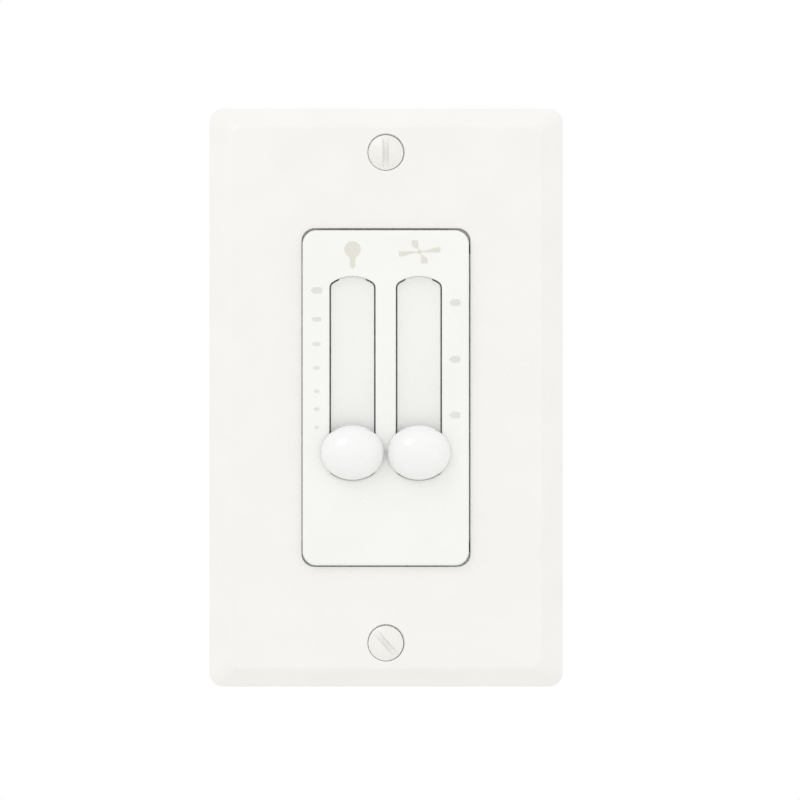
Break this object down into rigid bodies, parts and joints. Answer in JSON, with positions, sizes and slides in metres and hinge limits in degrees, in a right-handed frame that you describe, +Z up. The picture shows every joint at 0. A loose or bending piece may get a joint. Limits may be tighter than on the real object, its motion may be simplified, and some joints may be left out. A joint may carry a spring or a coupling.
{
  "type": "dimmer slide switch",
  "caption": "Single-gang wall control with a bevelled cover plate, a lamp dimmer slider and a ceiling-fan speed slider side by side",
  "frame": {"origin": "on the wall surface (the plane of the cover plate's rim), behind the middle of the plate", "axes": "+X to the right as a person faces the wall, +Y into the wall, +Z up"},
  "size_m": [0.0699, 0.0426, 0.1143],
  "materials": {
    "plate_nylon": "satin",
    "face_abs": "satin",
    "liner_abs": "satin",
    "knob_abs": "gloss",
    "enamelled_steel": "gloss",
    "zinc_steel": "satin",
    "spring_steel": "satin",
    "yoke_aluminium": "satin",
    "vulcanised_fibre": "matte",
    "housing_phenolic": "matte",
    "natural_nylon": "matte",
    "black_acetal": "satin",
    "paper_laminate": "matte",
    "carbon_track": "matte",
    "board_laminate": "satin",
    "tinned_copper": "satin",
    "phosphor_bronze": "satin",
    "terminal_brass": "satin",
    "ground_green": "gloss",
    "epoxy_black": "matte",
    "mica": "satin",
    "iron_powder_core": "matte",
    "enamelled_wire": "gloss",
    "capacitor_grey": "satin",
    "capacitor_yellow": "satin",
    "resistor_film": "satin",
    "diac_glass": "gloss",
    "fuse_ceramic": "matte",
    "trimmer_blue": "satin"
  },
  "bodies": {
    "device": {"wall_plate": "plate_nylon", "plate_screws": "enamelled_steel", "face_frame": "face_abs", "slot_liner_light": "liner_abs", "slot_liner_fan": "liner_abs", "dimmer_case": "zinc_steel", "dimmer_track_board": "paper_laminate", "dimmer_tracks": "carbon_track", "dimmer_pins": "tinned_copper", "fan_switch_case": "black_acetal", "fan_switch_board": "paper_laminate", "fan_switch_contacts": "phosphor_bronze", "fan_switch_pins": "tinned_copper", "triac_tab": "tinned_copper", "triac_body": "epoxy_black", "triac_legs": "tinned_copper", "triac_pad": "mica", "triac_screw": "zinc_steel", "choke_core": "iron_powder_core", "choke_winding": "enamelled_wire", "noise_capacitor": "capacitor_yellow", "fan_capacitor_low": "capacitor_grey", "fan_capacitor_medium": "capacitor_grey", "timing_capacitors": "capacitor_yellow", "resistors": "resistor_film", "diac": "diac_glass", "thermal_fuse": "fuse_ceramic", "trimmer": "trimmer_blue", "circuit_board": "board_laminate", "yoke": "yoke_aluminium", "insulating_sheet": "vulcanised_fibre", "back_housing": "housing_phenolic", "housing_screws": "zinc_steel", "terminal_plates": "terminal_brass", "terminal_clamps": "terminal_brass", "terminal_screws": "terminal_brass", "ground_screw": "ground_green", "box_screws": "zinc_steel", "screw_washers": "vulcanised_fibre"},
    "light_slider": {"knob_light": "knob_abs", "clip_light": "spring_steel", "carriage_light": "natural_nylon", "dimmer_lever": "natural_nylon", "dimmer_wiper": "phosphor_bronze"},
    "fan_slider": {"knob_fan": "knob_abs", "clip_fan": "spring_steel", "carriage_fan": "natural_nylon", "fan_switch_lever": "natural_nylon", "fan_switch_bridge": "phosphor_bronze"}
  },
  "joints": [
    {"name": "light_slide", "type": "slide", "parent": "device", "child": "light_slider", "axis": [0, 0, 1], "range_m": [0, 0.0294]},
    {"name": "fan_slide", "type": "slide", "parent": "device", "child": "fan_slider", "axis": [0, 0, 1], "range_m": [0, 0.0294]}
  ]
}
